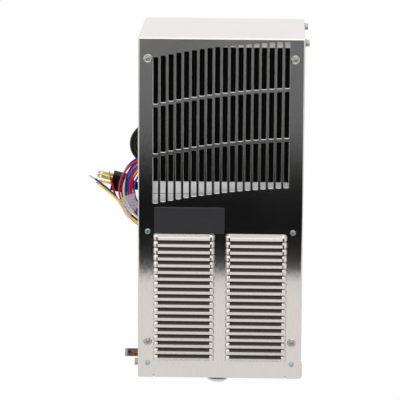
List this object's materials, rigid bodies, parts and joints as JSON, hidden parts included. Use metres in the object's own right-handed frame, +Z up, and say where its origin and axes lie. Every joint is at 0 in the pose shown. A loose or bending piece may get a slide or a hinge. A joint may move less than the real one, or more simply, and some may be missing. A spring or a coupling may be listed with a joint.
{
  "type": "enclosure air conditioner",
  "caption": "Side-mounted stainless enclosure air conditioner with slotted intake, louvred exhaust, rear cord and wire coil",
  "frame": {"origin": "middle of the four mounting holes, on the rear face of the rear panel", "axes": "+Z up along the long side of the case, +Y out of the rear face into the enclosure wall, +X to the right for someone who faces the grille"},
  "size_m": [0.3447, 0.2923, 0.5456],
  "materials": {
    "stainless": "brushed",
    "dark_plate": "satin",
    "bright_screw": "polished",
    "zinc_screw": "zinc plated",
    "galvanised": "galvanised sheet",
    "aluminium_fin": "mill",
    "black_fin": "matte coating",
    "copper_tube": "copper, drawn",
    "black_enamel": "semi gloss",
    "black_plastic": "moulded",
    "black_rubber": "matte",
    "cord_jacket": "smooth jacket",
    "brass_pin": "plain",
    "wire_insulation": "coloured insulation",
    "clear_tape": "frosted film",
    "pale_plastic": "moulded",
    "foam": "closed-cell foam",
    "grey_can": "drawn can"
  },
  "bodies": {
    "case": {"front_cover": "stainless", "badge_plate": "dark_plate", "cup_washers": "bright_screw", "cover_screws": "bright_screw", "panel_screws": "zinc_screw", "side_bolts": "zinc_screw", "side_tab": "stainless", "drain_cap": "bright_screw", "drain_washer": "black_rubber", "drain_tube": "copper_tube", "drain_hose": "black_rubber", "rear_panel": "galvanised", "mounting_gasket": "foam", "side_frames": "galvanised", "base_tray": "galvanised", "partition": "galvanised", "foam_liner": "foam", "condenser_fins": "black_fin", "condenser_tubes": "copper_tube", "condenser_end_plates": "galvanised", "coil_channels": "galvanised", "air_baffle": "galvanised", "fan_shroud": "galvanised", "condenser_motor": "black_enamel", "motor_bracket": "galvanised", "compressor_shell": "black_enamel", "compressor_cover": "black_plastic", "grommets": "black_rubber", "compressor_studs": "zinc_screw", "discharge_line": "copper_tube", "suction_line": "copper_tube", "liquid_line": "copper_tube", "filter_drier": "copper_tube", "capillary_tube": "copper_tube", "evaporator_fins": "aluminium_fin", "evaporator_tubes": "copper_tube", "evaporator_end_plates": "galvanised", "drain_pan": "black_plastic", "blower_plate": "galvanised", "blower_motor": "black_plastic", "control_box": "galvanised", "control_lid": "galvanised", "run_capacitor": "grey_can", "thermostat_body": "pale_plastic", "cord_gland": "black_plastic", "wire_bushing": "black_plastic", "power_cord_lead": "cord_jacket", "cord_hank": "cord_jacket", "power_cord_tail": "cord_jacket", "cord_ties": "black_plastic", "plug_body": "black_rubber", "plug_prongs": "brass_pin", "wire_coil": "wire_insulation", "wire_ends": "wire_insulation", "tape_band": "clear_tape"},
    "condenser_fan": {"condenser_impeller": "black_plastic", "condenser_shaft": "bright_screw"},
    "blower": {"blower_wheel": "black_plastic", "blower_rotor": "grey_can"},
    "dial": {"thermostat_dial": "black_plastic"}
  },
  "joints": [
    {"name": "condenser_fan_spin", "type": "hinge", "parent": "case", "child": "condenser_fan", "pos_m": [0, -0.15, 0.147], "axis": [0, 1, 0], "continuous": true},
    {"name": "blower_spin", "type": "hinge", "parent": "case", "child": "blower", "pos_m": [0, -0.07, 0.166], "axis": [0, 1, 0], "continuous": true},
    {"name": "dial_turn", "type": "hinge", "parent": "case", "child": "dial", "pos_m": [-0.004, 0, -0.042], "axis": [0, 1, 0], "range_deg": [0, 270]}
  ]
}
